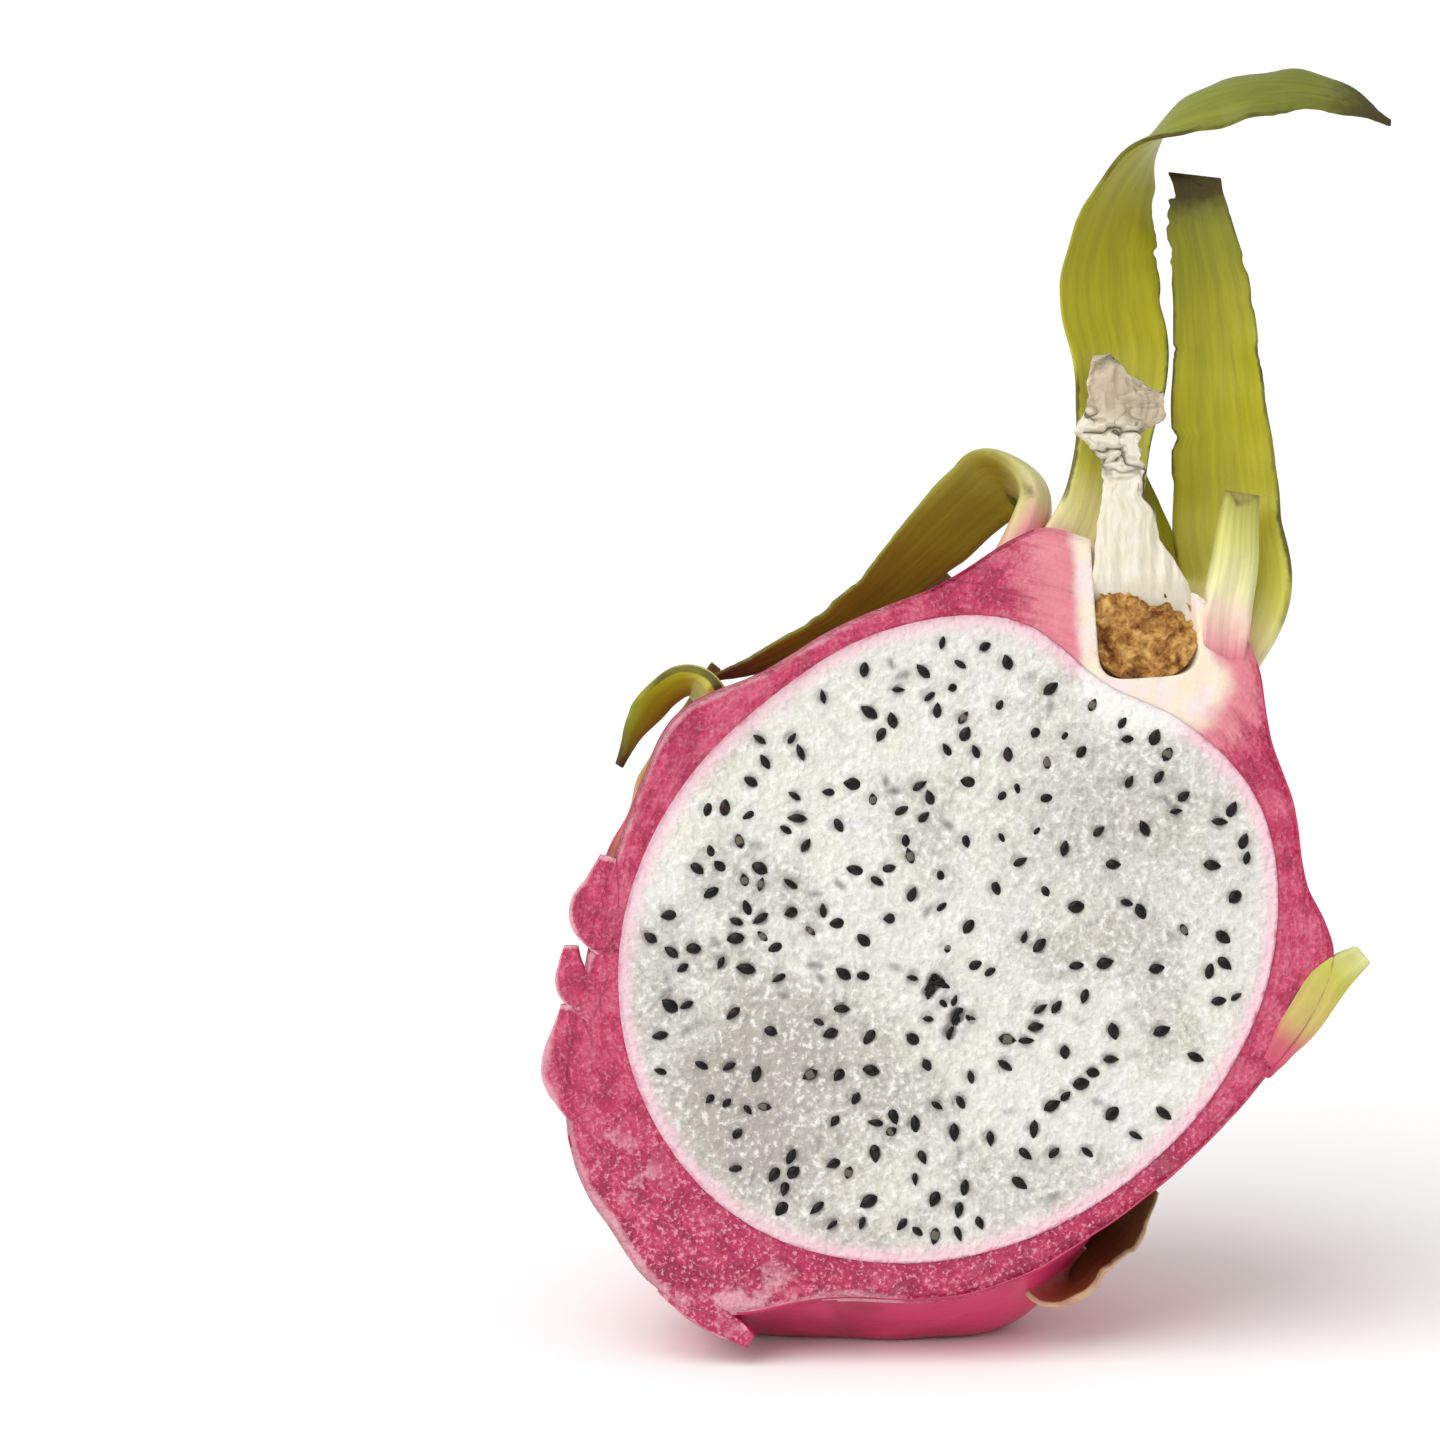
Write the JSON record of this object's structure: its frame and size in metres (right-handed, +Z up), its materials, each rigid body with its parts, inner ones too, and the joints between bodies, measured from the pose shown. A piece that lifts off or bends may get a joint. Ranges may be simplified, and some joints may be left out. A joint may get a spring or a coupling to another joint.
{
  "type": "dragon fruit",
  "caption": "Cut half of a pink dragon fruit with white seeded flesh, leafy green bracts and the dried flower tube, standing on its rind.",
  "frame": {"origin": "middle of the flat spot under the fruit, on the surface it stands on", "axes": "+Z up from that surface; the cut face looks along -Y and leans back; +X to the right as seen facing the cut face"},
  "size_m": [0.1032, 0.0567, 0.1543],
  "materials": {
    "rind": "waxy pink skin, deep pink and wet where it is cut",
    "flesh": "wet, translucent white with fine fibres",
    "bract": "satin yellow-green leaf",
    "scale": "satin, pink turning green at the tip",
    "dried_tube": "dry, papery and fibrous",
    "scar": "dry and crumbly",
    "cork": "dry cork"
  },
  "bodies": {
    "root": {"bract_arch": "bract", "bract_neck_back": "bract", "bract_sliced": "bract", "bract_small_hook": "bract", "bract_tall_hook": "bract", "bract_tall_torn": "bract", "flesh": "flesh", "flower_scar": "scar", "flower_tube": "dried_tube", "peel": "rind", "scale_back_foot": "scale", "scale_back_low": "scale", "scale_back_low_left": "scale", "scale_back_low_right": "scale", "scale_back_middle": "scale", "scale_back_middle_left": "scale", "scale_back_right": "scale", "scale_back_stem": "scale", "scale_back_upper": "scale", "scale_back_upper_left": "scale", "scale_back_upper_right": "scale", "scale_bottom_tip": "scale", "scale_left_lower": "scale", "scale_left_mid": "scale", "scale_left_upper": "scale", "scale_lower_right": "scale", "scale_right_tip": "scale", "stem_scar": "cork"}
  },
  "joints": []
}
